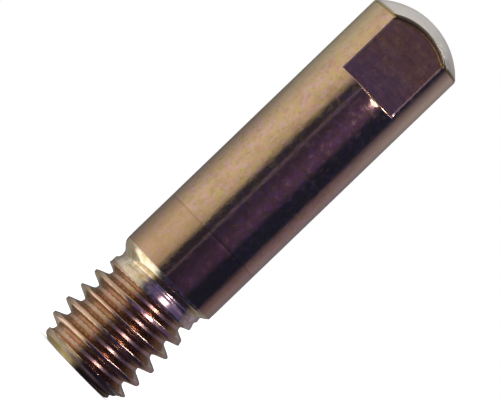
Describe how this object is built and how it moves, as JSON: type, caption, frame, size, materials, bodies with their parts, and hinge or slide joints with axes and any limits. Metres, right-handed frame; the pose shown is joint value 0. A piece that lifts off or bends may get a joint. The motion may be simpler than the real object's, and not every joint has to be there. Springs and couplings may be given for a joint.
{
  "type": "welding contact tip",
  "caption": "Screw-in copper contact tip for a wire-feed welding torch: a male thread with a short pilot, a run-out neck, a round barrel, a domed nose with wrench flats, and a wire bore along the axis.",
  "frame": {"origin": "the centre of the flat face at the thread end, on the axis, where the tip stands on its thread end", "axes": "+Z runs along the axis from the thread end to the nose, the way the wire leaves; -Y and +Y face square out of the two wrench flats; +X completes the right-handed frame"},
  "size_m": [0.006, 0.006, 0.0254],
  "materials": {
    "copper": "turned bare copper alloy, satin, lightly tarnished"
  },
  "bodies": {
    "root": {"contact_tip": "copper"}
  },
  "joints": []
}
